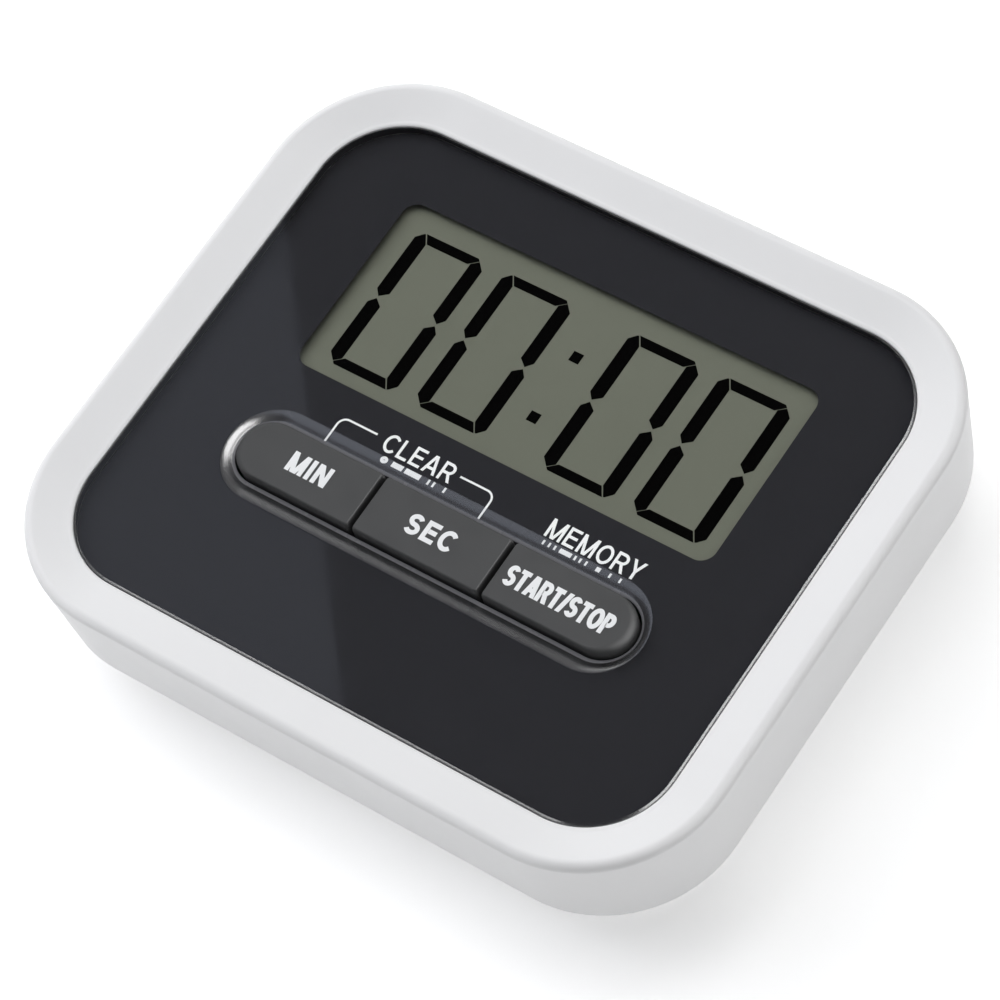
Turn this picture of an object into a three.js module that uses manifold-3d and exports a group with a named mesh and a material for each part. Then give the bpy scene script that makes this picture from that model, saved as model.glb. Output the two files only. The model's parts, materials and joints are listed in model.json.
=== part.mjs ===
// Lab countdown timer: a white two-part case with a dark front panel, a four-digit display, one
// row of three keys, a folding stand, a sliding battery door and two magnets on the back.
// It lies on its back: +X runs along the text, +Y to the top of the display, +Z out of the front.
// Units are millimetres, and the origin is the centre of the case on its back face.

import * as THREE from 'three';
import { mergeVertices } from 'three/addons/utils/BufferGeometryUtils.js';
import Module from 'manifold-3d';

const wasm = await Module();
wasm.setup();

// ---------------------------------------------------------------- driving dimensions

const CASE = { x: 41, y: 35, r: 15.1 };          // half sizes and corner radius of the front rim
const GAP = 0.3;                                 // between pieces that move or are cut for each other
const TOUCH = 0.05;                              // between faces that rest on each other
const CORNER_STEPS = 5;                          // half the number of segments of a rounded corner

const Z = {
  coverTop: 4.95,       // rim of the rear cover, just under the bezel
  bezelBottom: 5.25,    // lower edge of the white skirt
  lipTop: 6.8,          // rear cover's lip, inside the skirt
  pcb: 8.1,             // back of the circuit board
  pcbTop: 9.6,
  web: 13.1,            // back of the bezel's front wall
  ledge: 14.7,          // ledge that the lens is taped to
  lens: 15.0,           // back of the lens
  lensTop: 16.4,
  rimInner: 16.25,      // bezel where it meets the lens
  rim: 17.5,            // highest line of the bezel
};

const BEZEL = { draft: 0.6, wall: 2.0, fillet: 0.8 };
const LENS = { x: 35.7, y: 29.9, r: 9.4 };
const LENS_GAP = 0.15;
const LENS_CHAMFER = 0.3;

const WINDOW = { x: 25.4, y: 10.8, r: 1.2, cy: 11.45 };      // clear window of the display
const CELL = { x: 27, y: 13.5, cy: 11.4, ledge: 2.5 };       // display glass
const STACK = {                                  // heights of the display's layers
  polariser: [14.0, 14.2], front: [13.3, 13.95], rear: [12.6, 13.4], reflector: [12.35, 12.55],
  holder: [9.9, 12.3],
};
const FILM = { x: 26, y: 12, rearY: 10.5 };                  // polariser and reflector
const ZEBRA = { x: 25, y: 0.9, edge: 1.15, top: 13.25 };     // contact strips under the glass
const PILL = { x: 24.15, y: 3.62, cy: -9.97 };               // opening for the keys
const SCOOP = {                                  // dished edge around the keys: [way out, depth]
  x: 25.4, near: -15.9, far: -4.7,
  profile: [[0, 0.65], [0.22, 0.54], [0.4, 0.36], [0.65, 0.16], [0.82, 0.06], [1, 0]],
};

const KEY = {
  top: 17.05, flangeTop: 13.05, flange: 1.0, lip: 0.8, split: 7.9, gap: 0.4,
  round: [[0.9, 0, 0], [0.45, 0.12, 0.03], [0.12, 0.45, 0.12], [0, 0.9, 0.25]],
  end: 30, middle: 15.6,
};
const DOME = { foot: 4.2, base: 3.6, top: 2.2, bottom: 9.65, height: 2.35, hollow: 1.1 };

const BOARD = { x: 34, bottom: -16.5, shoulder: 21, neck: 27.4, top: 27 };
const BOARD_SCREW = {
  x: 31, y: [-13.5, 17], post: 2.0, pilot: 0.85, shank: 0.75, head: 1.9, low: 7.05, thick: 1.0, tip: 12,
};
const CASE_SCREW = {
  x: 30.5, y: 24.5, boss: 2.6, pilot: 1.15, shank: 1.0, head: 2.1, low: 1.1, thick: 1.3, tip: 11, sunk: 2.6,
};

const CELL_AAA = { r: 5.25, left: -20.1, body: 43.5, nub: 1.0, nubR: 1.9, y: -24, z: 7.15 };
const CONTACT = { inner: 24.95, outer: 25.3, half: 4, low: 3, high: 10.6, tab: 1.6, tabTop: 11.6 };
const BAY = { x: 25.6, top: -18.4, bottom: -29.9, wall: 1.0, wallTop: 9.5 };
const RAIL = { width: 1.5, bottom: -31.2, low: 1.0, high: 2.6 };     // thicker floor beside the door
const DOOR = { x: 25.2, y: -18.7, top: 1.6, tongue: 0.9, tongueLow: 0.7, tongueHigh: 1.2 };
const BEYOND = 40;                               // a height or length past every face of the case

const STAND = {
  x: 19.4, tip: -12.9, hingeY: 14, hingeZ: 1.6, barrel: 1.3, pin: 0.9, pinLength: 1.5,
  low: 0.3, thick: 1.8,
};
const STAND_BAY = { bottom: -13.2, top: 16.3, floor: 3.1, wall: 1.8, x: 19.7 };
const NOTCH = { x: 7, y: 2.2, r: 2, deep: 2.2 };             // finger hollow at the stand's tip
const GRIP = { half: 0.3, deep: 0.35 };                      // grooves of the door and the stand

const FLOOR = 1.5;                               // thickness of the rear cover
const ROOT = FLOOR - 0.5;                        // ribs and bosses start inside the floor
const MAGNET = { x: 28.5, y: 10, r: 5, low: 0.15, thick: 2.0 };
const BUZZER = {
  x: -29, y: -4.5, r: 6, ceramic: 4.2, ring: 5.4, ringWall: 0.9, bottom: 2.55, disc: 0.2,
  hole: 0.7, holeCircle: 2.6, holes: 6,
};
const CHIP = { x: -6, y: 6, profile: [[0, 1.4], [1.9, 1.32], [3.4, 1.02], [4.5, 0.5], [5, 0], [0, 0]] };
const CRYSTAL = { x: [3, 9], y: 9, r: 1.0 };
const CAPACITOR = { x: [24.5, 30.5], y: -4, r: 2.0 };
const WIRE = 0.3;

// ---------------------------------------------------------------- materials

function plastic(color, roughness) {
  return new THREE.MeshStandardMaterial({ color, roughness, metalness: 0 });
}

function metal(color, roughness) {
  return new THREE.MeshStandardMaterial({ color, roughness, metalness: 1 });
}

const MATERIAL = {
  caseWhite: plastic(0xeceded, 0.42),
  lens: plastic(0x24262b, 0.08),
  tape: plastic(0x141414, 0.8),
  polariser: plastic(0x7a7d6b, 0.35),
  glass: plastic(0xb9c4bd, 0.05),
  reflector: plastic(0xa9ab9a, 0.4),
  holder: plastic(0x1b1c1d, 0.6),
  zebra: plastic(0xb56b7d, 0.7),
  board: plastic(0x2f6a3c, 0.5),
  epoxy: plastic(0x0e0e0f, 0.35),
  key: plastic(0x3b3f3f, 0.6),
  silicone: plastic(0x9da3a6, 0.8),
  ceramic: plastic(0xe7e2d2, 0.5),
  copperWire: plastic(0xa3161a, 0.5),
  blackWire: plastic(0x141416, 0.5),
  cell: plastic(0x2a3f66, 0.35),
  brass: metal(0xc9a24a, 0.3),
  steel: metal(0xb8bbbf, 0.3),
  magnet: metal(0xa7a9ab, 0.22),
};

// ---------------------------------------------------------------- shapes

// Rounded rectangle with half sizes x and y around (cx, cy).
function rounded(x, y, r, cx = 0, cy = 0) {
  const shape = new THREE.Shape();
  const quarter = Math.PI / 2;
  shape.absarc(cx + x - r, cy - y + r, r, -quarter, 0);
  shape.absarc(cx + x - r, cy + y - r, r, 0, quarter);
  shape.absarc(cx - x + r, cy + y - r, r, quarter, 2 * quarter);
  shape.absarc(cx - x + r, cy - y + r, r, 2 * quarter, 3 * quarter);
  shape.closePath();
  return shape;
}

// Straight plate of a shape between two heights.
function plate(shape, low, high, curveSegments = CORNER_STEPS) {
  const options = { depth: high - low, bevelEnabled: false, curveSegments };
  return new THREE.ExtrudeGeometry(shape, options).translate(0, 0, low);
}

// Rounded rectangle that changes from height to height.
// levels is a list of [height, rectangle], from the lowest to the highest.
function lofted(levels, curveSegments = CORNER_STEPS) {
  const { x, y, r } = levels[0][1];
  const steps = levels.length - 1;
  const options = { depth: steps, steps, bevelEnabled: false, curveSegments };
  const geometry = new THREE.ExtrudeGeometry(rounded(x, y, r), options);
  const position = geometry.attributes.position;
  for (let i = 0; i < position.count; i += 1) {
    const [height, to] = levels[Math.round(position.getZ(i))];
    const px = position.getX(i);
    const py = position.getY(i);
    const coreX = THREE.MathUtils.clamp(px, r - x, x - r);
    const coreY = THREE.MathUtils.clamp(py, r - y, y - r);
    position.setXYZ(
      i,
      (coreX * (to.x - to.r)) / (x - r) + ((px - coreX) * to.r) / r,
      (coreY * (to.y - to.r)) / (y - r) + ((py - coreY) * to.r) / r + (to.cy ?? 0),
      height,
    );
  }
  return geometry;
}

// Rounded rectangle drawn in by a different amount at each height: levels of [height, inset].
function drafted({ x, y, r, cy = 0 }, levels, curveSegments = CORNER_STEPS) {
  const inset = (d) => ({ x: x - d, y: y - d, r: r - d, cy });
  return lofted(levels.map(([height, d]) => [height, inset(d)]), curveSegments);
}

// Levels of a quarter-round edge that ends at the given height.
function roundedEdge(top, radius, steps, start = 0) {
  const levels = [];
  for (let i = 0; i <= steps; i += 1) {
    const angle = (i / steps) * (Math.PI / 2);
    levels.push([top - radius + radius * Math.sin(angle), start + radius * (1 - Math.cos(angle))]);
  }
  return levels;
}

function box(x0, x1, y0, y1, z0, z1) {
  const geometry = new THREE.BoxGeometry(x1 - x0, y1 - y0, z1 - z0);
  return geometry.translate((x0 + x1) / 2, (y0 + y1) / 2, (z0 + z1) / 2);
}

// Upright cylinder or cone frustum.
function post(x, y, r, low, high, topR = r, segments = 14) {
  const geometry = new THREE.CylinderGeometry(topR, r, high - low, segments);
  return geometry.rotateX(Math.PI / 2).translate(x, y, (low + high) / 2);
}

// Cylinder along X.
function bar(x0, x1, y, z, r, segments = 16) {
  const geometry = new THREE.CylinderGeometry(r, r, x1 - x0, segments);
  return geometry.rotateZ(Math.PI / 2).translate((x0 + x1) / 2, y, z);
}

// Round tube of radius r through a list of points.
function wire(points, r, steps, sides = 8) {
  const curve = new THREE.CatmullRomCurve3(points.map((p) => new THREE.Vector3(...p)), false, 'centripetal');
  const section = new THREE.Shape().absarc(0, 0, r, 0, 2 * Math.PI);
  const options = { extrudePath: curve, steps, curveSegments: sides / 2, bevelEnabled: false };
  return new THREE.ExtrudeGeometry(section, options);
}

// ---------------------------------------------------------------- joins and cuts

function solid(geometry) {
  const bare = geometry.clone();
  bare.deleteAttribute('normal');
  bare.deleteAttribute('uv');
  const merged = mergeVertices(bare, 1e-5);
  return new wasm.Manifold(new wasm.Mesh({
    numProp: 3,
    vertProperties: new Float32Array(merged.attributes.position.array),
    triVerts: new Uint32Array(merged.index.array),
  }));
}

function join(first, ...others) {
  return others.reduce((body, piece) => body.add(solid(piece)), first);
}

function cut(first, ...others) {
  return others.reduce((body, piece) => body.subtract(solid(piece)), first);
}

function toGeometry(body) {
  const { vertProperties, triVerts } = body.getMesh();
  const geometry = new THREE.BufferGeometry();
  geometry.setAttribute('position', new THREE.BufferAttribute(vertProperties, 3));
  geometry.setIndex(new THREE.BufferAttribute(triVerts, 1));
  return geometry;
}

const timer = new THREE.Group();

function add(name, shape, material) {
  const geometry = shape instanceof THREE.BufferGeometry ? shape : toGeometry(shape);
  const mesh = new THREE.Mesh(geometry, material.clone());
  mesh.name = name;
  timer.add(mesh);
}

// The stadium of the key opening, grown by a margin on every side.
function grown(margin) {
  const y = PILL.y + margin;
  return { x: PILL.x + margin, y, r: y - 0.01, cy: PILL.cy };
}

const PILL_HOLE = grown(0);

// The four places of a screw that stands in every quarter of the case.
function quarters(x, ys) {
  return ys.flatMap((y) => [[-x, y], [x, y]]);
}

const CASE_SCREWS = quarters(CASE_SCREW.x, [-CASE_SCREW.y, CASE_SCREW.y]);
const BOARD_SCREWS = quarters(BOARD_SCREW.x, BOARD_SCREW.y);

// ---------------------------------------------------------------- front bezel

function frontBezel() {
  const { draft, wall, fillet } = BEZEL;
  const skirt = [[Z.bezelBottom, draft], ...roundedEdge(Z.rim, fillet, 4)];
  const edge = fillet + 0.1;
  const crest = { x: CASE.x - edge, y: CASE.y - edge, r: CASE.r - edge };
  const pocket = { x: LENS.x + LENS_GAP, y: LENS.y + LENS_GAP, r: LENS.r + LENS_GAP };
  let body = solid(drafted(CASE, skirt));
  // The face slopes down to the lens, then the lens pocket and the hollow behind.
  body = cut(
    body,
    lofted([[Z.ledge, pocket], [Z.rimInner, pocket], [Z.rim, crest], [Z.rim + 1, crest]]),
    drafted(CASE, [[0, wall], [Z.web, wall]]),
  );
  body = cut(
    body,
    plate(rounded(CELL.x + GAP, CELL.y + GAP, 0.6, 0, CELL.cy), Z.web - 1, Z.ledge + 1, 4),
    drafted(PILL_HOLE, [[Z.web - 1, 0], [Z.ledge + 1, 0]]),
  );
  for (const [x, y] of CASE_SCREWS) {
    body = join(body, post(x, y, CASE_SCREW.boss, Z.lipTop + GAP, Z.web + 0.2));
    body = cut(body, post(x, y, CASE_SCREW.pilot, 0, Z.web - 1.6));
  }
  for (const [x, y] of BOARD_SCREWS) {
    body = join(body, post(x, y, BOARD_SCREW.post, Z.pcbTop + TOUCH, Z.web + 0.2));
    body = cut(body, post(x, y, BOARD_SCREW.pilot, 0, Z.web - 0.6));
  }
  return body;
}

// ---------------------------------------------------------------- lens and display

// The dish grows from the opening to its outer edge, which reaches further on the near side.
function scoopLevels() {
  const { x, near, far, profile } = SCOOP;
  const half = (far - near) / 2;
  const middle = (far + near) / 2;
  const at = (out) => {
    const y = THREE.MathUtils.lerp(PILL.y, half, out);
    return {
      x: THREE.MathUtils.lerp(PILL.x, x, out), y, r: y - 0.01,
      cy: THREE.MathUtils.lerp(PILL.cy, middle, out),
    };
  };
  const levels = profile.map(([out, depth]) => [Z.lensTop - depth, at(out)]);
  return [...levels, [Z.lensTop + 1, at(1)]];
}

function frontLens() {
  const outside = [[Z.lens, 0], [Z.lensTop - LENS_CHAMFER, 0], [Z.lensTop, LENS_CHAMFER]];
  return cut(
    solid(drafted(LENS, outside)),
    drafted(PILL_HOLE, [[Z.lens - 1, 0], [Z.lensTop + 1, 0]]),
    lofted(scoopLevels()),
  );
}

function lensTape() {
  const margin = 0.8;
  const low = Z.ledge + TOUCH;
  const high = Z.lens - TOUCH;
  return cut(
    solid(drafted(LENS, [[low, 0.35], [high, 0.35]])),
    plate(rounded(WINDOW.x + margin, WINDOW.y + margin, WINDOW.r, 0, WINDOW.cy), low - 1, high + 1, 4),
    drafted(grown(margin), [[low - 1, 0], [high + 1, 0]]),
  );
}

// Two bonded plates: the rear one is narrower and leaves a contact ledge along both long edges.
function displayCell() {
  const { x, y, cy, ledge } = CELL;
  return join(
    solid(box(-x, x, cy - y, cy + y, ...STACK.front)),
    box(-x, x, cy - y + ledge, cy + y - ledge, ...STACK.rear),
  );
}

function film(y, heights) {
  return box(-FILM.x, FILM.x, CELL.cy - y, CELL.cy + y, ...heights);
}

function displayHolder() {
  const { x, y, cy, ledge } = CELL;
  const half = y - ledge;
  const [low, high] = STACK.holder;
  const frame = 3;
  return cut(
    solid(plate(rounded(x, half, 1, 0, cy), low, high, 4)),
    plate(rounded(x - frame, half - frame, 1, 0, cy), low - 1, high + 1, 4),
  );
}

function zebraStrip(side) {
  const y = CELL.cy + side * (CELL.y - ZEBRA.edge);
  return box(-ZEBRA.x, ZEBRA.x, y - ZEBRA.y, y + ZEBRA.y, Z.pcbTop + TOUCH, ZEBRA.top);
}

add('front_bezel', frontBezel(), MATERIAL.caseWhite);
add('front_lens', frontLens(), MATERIAL.lens);
add('lens_tape', lensTape(), MATERIAL.tape);
add('lcd_front_polariser', film(FILM.y, STACK.polariser), MATERIAL.polariser);
add('lcd_glass', displayCell(), MATERIAL.glass);
add('lcd_rear_reflector', film(FILM.rearY, STACK.reflector), MATERIAL.reflector);
add('lcd_holder', displayHolder(), MATERIAL.holder);
add('zebra_strip_upper', zebraStrip(1), MATERIAL.zebra);
add('zebra_strip_lower', zebraStrip(-1), MATERIAL.zebra);

// ---------------------------------------------------------------- circuit board

function circuitBoard() {
  const { x, bottom, shoulder, neck, top } = BOARD;
  let body = join(
    solid(box(-x, x, bottom, shoulder, Z.pcb, Z.pcbTop)),
    box(-neck, neck, shoulder - 1, top, Z.pcb, Z.pcbTop),
  );
  for (const [sx, sy] of BOARD_SCREWS) {
    body = cut(body, post(sx, sy, BOARD_SCREW.shank + 0.45, 0, Z.web));
  }
  return body;
}

// Can or sleeve lying against the back of the board.
function underBoard({ x, y, r }) {
  return bar(...x, y, Z.pcb - TOUCH - r, r);
}

// Epoxy drop over the chip: a shallow cap hanging under the board.
function chipBlob() {
  const points = CHIP.profile.map(([r, h]) => new THREE.Vector2(r, h)).reverse();
  const geometry = new THREE.LatheGeometry(points, 20);
  return geometry.rotateX(-Math.PI / 2).translate(CHIP.x, CHIP.y, Z.pcb - TOUCH);
}

add('circuit_board', circuitBoard(), MATERIAL.board);
add('chip_blob', chipBlob(), MATERIAL.epoxy);
add('crystal', underBoard(CRYSTAL), MATERIAL.steel);
add('capacitor', underBoard(CAPACITOR), MATERIAL.epoxy);

// ---------------------------------------------------------------- keys

// A key cap fills its third of the pill-shaped opening and has a retaining flange below.
// Its crown drops by [drop, end, side]: long at the round ends and short along the sides.
function keyCap(left, right) {
  const { top, flangeTop, flange, lip, round } = KEY;
  const low = flangeTop - flange;
  const outline = grown(-GAP);
  const crown = round.map(([drop, end, side]) => [
    top - drop,
    { ...outline, x: outline.x - end, y: outline.y - side, r: outline.r - side },
  ]);
  const body = join(
    solid(lofted([[low, outline], ...crown])),
    drafted(grown(lip - GAP), [[low, 0], [flangeTop, 0]]),
  );
  return body.intersect(solid(box(left, right, -BEYOND, BEYOND, 0, BEYOND)));
}

const KEYS = [
  { name: 'min', left: -KEY.end, right: -KEY.split - KEY.gap / 2, x: -KEY.middle },
  { name: 'sec', left: -KEY.split + KEY.gap / 2, right: KEY.split - KEY.gap / 2, x: 0 },
  { name: 'start_stop', left: KEY.split + KEY.gap / 2, right: KEY.end, x: KEY.middle },
];

// Hollow silicone dome: a frustum with a shallow hollow under it.
function keyDome(x) {
  const { foot, base, top, bottom, height, hollow } = DOME;
  return cut(
    join(
      solid(post(x, PILL.cy, foot, bottom, bottom + 0.5)),
      post(x, PILL.cy, base, bottom + 0.3, bottom + height, top),
    ),
    post(x, PILL.cy, base - 0.9, bottom - 1, bottom + hollow, top - 0.2),
  );
}

for (const key of KEYS) {
  add(`button_${key.name}`, keyCap(key.left, key.right), MATERIAL.key);
  add(`dome_${key.name}`, keyDome(key.x), MATERIAL.silicone);
}

// ---------------------------------------------------------------- rear cover

const COVER_LEVELS = [[0, 4.4], [0.35, 3.9], [1.2, 3.4], [Z.coverTop, 0.9]];

function coverShell() {
  const { wall } = BEZEL;
  const body = join(
    solid(drafted(CASE, COVER_LEVELS)),
    drafted(CASE, [[Z.coverTop - 0.5, wall + GAP], [Z.lipTop, wall + GAP]]),
  );
  const inside = wall + GAP + 1.5;
  return cut(body, drafted(CASE, [[FLOOR, 5.2], [Z.coverTop, inside], [Z.lipTop + 1, inside]]));
}

function screwBosses(body) {
  let result = body;
  for (const [x, y] of CASE_SCREWS) {
    result = join(result, post(x, y, CASE_SCREW.head + 1.2, ROOT, Z.lipTop));
    result = cut(
      result,
      post(x, y, CASE_SCREW.head + GAP, -1, CASE_SCREW.sunk),
      post(x, y, CASE_SCREW.shank + GAP, 0, Z.lipTop + 1),
    );
  }
  return result;
}

function standRecess(body) {
  const { bottom, top, floor, wall, x } = STAND_BAY;
  const { deep } = NOTCH;
  return cut(
    join(
      body,
      box(-x - wall, x + wall, bottom - wall, top + wall, ROOT, floor + wall),
      box(-NOTCH.x - wall, NOTCH.x + wall, bottom - NOTCH.y - wall, bottom, ROOT, deep + wall),
    ),
    box(-x, x, bottom, top, -1, floor),
    drafted({ ...NOTCH, cy: bottom }, [[-1, 0], [0, 0], [deep - 0.8, 0.4], [deep, 1.4]], 6),
    bar(-x - STAND.pinLength, x + STAND.pinLength, STAND.hingeY, STAND.hingeZ, STAND.pin + GAP),
  );
}

function magnetPockets(body) {
  const { x, y, r, low, thick } = MAGNET;
  let result = body;
  for (const side of [-1, 1]) {
    result = join(result, post(side * x, y, r + 1.6, ROOT, low + thick + 1.4, r + 1.6, 24));
    result = cut(result, post(side * x, y, r + GAP, -1, low + thick + GAP, r + GAP, 24));
  }
  return result;
}

function soundOutlet(body) {
  const { x, y, ring, ringWall, bottom, hole, holeCircle, holes } = BUZZER;
  const inside = ring - ringWall;
  const centres = [[x, y]];
  for (let i = 0; i < holes; i += 1) {
    const angle = (i / holes) * 2 * Math.PI;
    centres.push([x + holeCircle * Math.cos(angle), y + holeCircle * Math.sin(angle)]);
  }
  return cut(
    join(body, post(x, y, ring, ROOT, bottom - TOUCH, ring, 24)),
    post(x, y, inside, FLOOR, bottom + 1, inside, 24),
    ...centres.map(([hx, hy]) => post(hx, hy, hole, -1, bottom, hole, 8)),
  );
}

// The bay is three walls around the cell, and its floor is the sliding door.
function batteryBay(body) {
  const { x, top, bottom, wall, wallTop } = BAY;
  const groove = DOOR.tongue + GAP;
  const walls = join(
    body,
    box(-x - wall, x + wall, top, top + wall, ROOT, wallTop),
    box(-x - wall, -x, bottom, top + wall, ROOT, wallTop),
    box(x, x + wall, bottom, top + wall, ROOT, wallTop),
    box(-x - wall - RAIL.width, -x + 0.2, RAIL.bottom, top + wall, RAIL.low, RAIL.high),
    box(x - 0.2, x + wall + RAIL.width, RAIL.bottom, top + wall, RAIL.low, RAIL.high),
  );
  const opening = DOOR.x + GAP;
  return cut(
    walls,
    box(-opening, opening, -BEYOND, top, -1, DOOR.top + GAP),
    box(-opening - groove, opening + groove, -BEYOND, top, DOOR.tongueLow - GAP, DOOR.tongueHigh + GAP),
    box(-x, x, bottom, top, 0, BEYOND),
  );
}

function rearCover() {
  return batteryBay(soundOutlet(magnetPockets(standRecess(screwBosses(coverShell())))));
}

// ---------------------------------------------------------------- battery door and stand

// Parallel finger grooves across a piece whose outer face is at the given height.
function grooves(count, x, first, pitch, face) {
  return Array.from({ length: count }, (_, i) => {
    const y = first + i * pitch;
    return box(-x, x, y - GRIP.half, y + GRIP.half, -1, face + GRIP.deep);
  });
}

function batteryDoor() {
  const { x, y, top, tongue, tongueLow, tongueHigh } = DOOR;
  const outline = solid(drafted(CASE, COVER_LEVELS));
  const leaf = outline.intersect(solid(box(-x, x, -BEYOND, y, -1, top)));
  const rails = outline.intersect(
    solid(box(-x - tongue, x + tongue, -BEYOND, y, tongueLow, tongueHigh)),
  );
  return cut(leaf.add(rails), ...grooves(5, 5, -28, 1.4, 0));
}

function kickstand() {
  const { x, tip, hingeY, hingeZ, barrel, pin, pinLength, low, thick } = STAND;
  const half = (hingeY - tip) / 2;
  const leaf = { x, y: half, r: 2.5, cy: tip + half };
  let body = solid(drafted(leaf, [[low, 0.3], [low + 0.3, 0], [low + thick, 0]], 6));
  body = cut(body, box(-x - 1, x + 1, hingeY - 3, hingeY + 3, -1, 5));
  body = join(
    body,
    box(-x, x, hingeY - 3.1, hingeY - 0.1, low, low + thick),
    bar(-x, x, hingeY, hingeZ, barrel),
    bar(-x - pinLength + GAP, x + pinLength - GAP, hingeY, hingeZ, pin),
  );
  return cut(body, ...grooves(4, 6, tip + 2.4, 1.5, low));
}

add('rear_cover', rearCover(), MATERIAL.caseWhite);
add('battery_door', batteryDoor(), MATERIAL.caseWhite);
add('kickstand', kickstand(), MATERIAL.caseWhite);
for (const [side, name] of [[-1, 'magnet_left'], [1, 'magnet_right']]) {
  const { x, y, r, low, thick } = MAGNET;
  add(name, post(side * x, y, r, low, low + thick, r, 24), MATERIAL.magnet);
}

// ---------------------------------------------------------------- battery and its contacts

function batteryCell() {
  const { r, left, body, nub, nubR, y, z } = CELL_AAA;
  const edge = 0.4;
  const profile = [
    [0, 0.2], [r - 1.2, 0.2], [r - 1.0, 0], [r - edge, 0], [r, edge], [r, body - edge], [r - edge, body],
    [nubR, body], [nubR, body + nub - 0.2], [nubR - 0.2, body + nub], [0, body + nub],
  ];
  const points = profile.map(([radius, along]) => new THREE.Vector2(radius, along));
  const geometry = new THREE.LatheGeometry(points, 24);
  return geometry.rotateZ(-Math.PI / 2).translate(left, y, z);
}

// Coil spring that widens from the cell towards its plate.
function coilSpring() {
  const { left, y, z } = CELL_AAA;
  const turns = 3;
  const radii = [2.2, 3.6];
  const start = left - 0.6;
  const end = -CONTACT.inner + 0.45;
  const points = [];
  for (let i = 0; i <= turns * 12; i += 1) {
    const t = i / (turns * 12);
    const angle = t * turns * 2 * Math.PI;
    const radius = THREE.MathUtils.lerp(...radii, t);
    points.push([start + (end - start) * t, y + radius * Math.cos(angle), z + radius * Math.sin(angle)]);
  }
  return wire(points, 0.28, 54, 6);
}

function contactPlate(x0, x1) {
  const { y } = CELL_AAA;
  const { half, low, high, tab, tabTop } = CONTACT;
  return join(
    solid(box(x0, x1, y - half, y + half, low, high)),
    box(x0, x1, y + half - tab, y + half, high - 0.1, tabTop),
  );
}

function positiveContact() {
  const { y, z } = CELL_AAA;
  const { inner, outer } = CONTACT;
  return join(contactPlate(inner, outer), bar(inner - 0.35, inner + 0.15, y, z, 1.2));
}

function batteryWire(side) {
  const x = side * 25.12;
  const out = side * 27.2;
  return wire([
    [x, -20.4, 11.95], [x, -19.2, 12.35], [side * 26, -17.6, 12.3], [out, -15.8, 11.6],
    [out, -14.9, 10.4], [out, -14.8, 9.7],
  ], WIRE, 14, 6);
}

function buzzerWire(offset) {
  const { x, y, bottom } = BUZZER;
  return wire([
    [x + offset, y + 1.2, bottom + 0.8], [x + offset + 0.4, y + 1.6, bottom + 1.8],
    [x + offset + 2, y + 3, 5.6], [x + offset + 2.6, y + 3.4, 7.2], [x + offset + 2.6, y + 3.4, 8.02],
  ], WIRE, 12, 6);
}

add('battery', batteryCell(), MATERIAL.cell);
add('battery_spring', coilSpring(), MATERIAL.steel);
add('battery_contact_negative', contactPlate(-CONTACT.outer, -CONTACT.inner), MATERIAL.steel);
add('battery_contact_positive', positiveContact(), MATERIAL.steel);
add('battery_wire_black', batteryWire(-1), MATERIAL.blackWire);
add('battery_wire_red', batteryWire(1), MATERIAL.copperWire);

// ---------------------------------------------------------------- buzzer

function buzzerPlate(r, low) {
  return post(BUZZER.x, BUZZER.y, r, low, low + BUZZER.disc, r, 32);
}

add('buzzer_disc', buzzerPlate(BUZZER.r, BUZZER.bottom), MATERIAL.brass);
add('buzzer_ceramic', buzzerPlate(BUZZER.ceramic, BUZZER.bottom + BUZZER.disc + TOUCH), MATERIAL.ceramic);
add('buzzer_wire_black', buzzerWire(1), MATERIAL.blackWire);
add('buzzer_wire_red', buzzerWire(-1), MATERIAL.copperWire);

// ---------------------------------------------------------------- screws

// Pan-head screw pointing up, with a cross recess in its head.
function screw(x, y, { head, shank, low, thick, tip }) {
  const slot = { long: head * 0.62, half: 0.2, top: low + thick * 0.55 };
  const crown = low + thick * 0.35;
  return cut(
    join(
      solid(post(x, y, head * 0.8, low, crown, head, 16)),
      post(x, y, head, crown, low + thick, head, 16),
      post(x, y, shank, low + thick - 0.1, tip - 1, shank, 8),
      post(x, y, shank, tip - 1, tip, shank * 0.3, 8),
    ),
    box(x - slot.long, x + slot.long, y - slot.half, y + slot.half, low - 1, slot.top),
    box(x - slot.half, x + slot.half, y - slot.long, y + slot.long, low - 1, slot.top),
  );
}

CASE_SCREWS.forEach(([x, y], i) => {
  add(`case_screw_${i + 1}`, screw(x, y, CASE_SCREW), MATERIAL.steel);
});
BOARD_SCREWS.forEach(([x, y], i) => {
  add(`board_screw_${i + 1}`, screw(x, y, BOARD_SCREW), MATERIAL.steel);
});

export default timer;
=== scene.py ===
"""Lab timer: detailed pieces, finishes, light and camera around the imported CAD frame.

Lengths in the shape code are millimetres in the part's own frame and become metres in new_piece().
The camera, the floor and the lights are placed in metres.
"""

import json
import math

import bmesh
import bpy
from mathutils import Matrix, Vector
from mathutils.geometry import tessellate_polygon

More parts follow.
